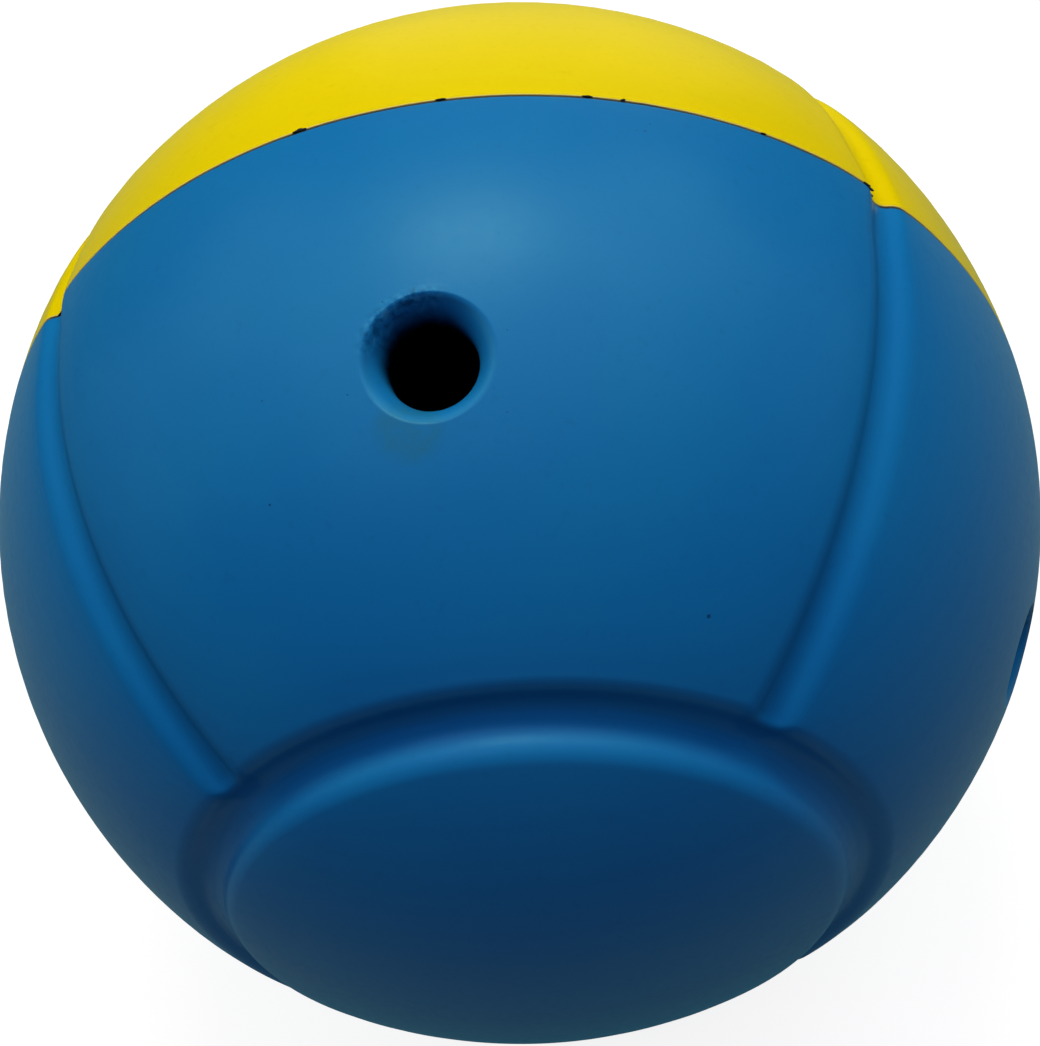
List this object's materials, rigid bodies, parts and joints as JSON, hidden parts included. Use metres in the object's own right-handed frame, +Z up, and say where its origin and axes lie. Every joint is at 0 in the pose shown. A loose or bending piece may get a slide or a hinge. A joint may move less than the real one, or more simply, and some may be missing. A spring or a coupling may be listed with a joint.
{
  "type": "foam ball",
  "caption": "Hollow foam play ball in contrasting colours, cemented from half shells, with moulded straight grooves, a ring groove round each polar cap and round lipped holes.",
  "frame": {"origin": "centre of the ball", "axes": "+Y along the pole axis towards the plain yellow half, -Y towards the pierced blue half, +Z up through the middle of one panel; the ball lies on the floor at -Z"},
  "size_m": [0.15, 0.15, 0.15],
  "materials": {
    "blue_foam": "satin moulded foam skin, mid blue",
    "yellow_foam": "satin moulded foam skin, bright yellow",
    "cement": "dark contact cement, dull"
  },
  "bodies": {
    "root": {"pierced_half_shell": "blue_foam", "plain_half_shell": "yellow_foam", "seam_cement": "cement"}
  },
  "joints": []
}
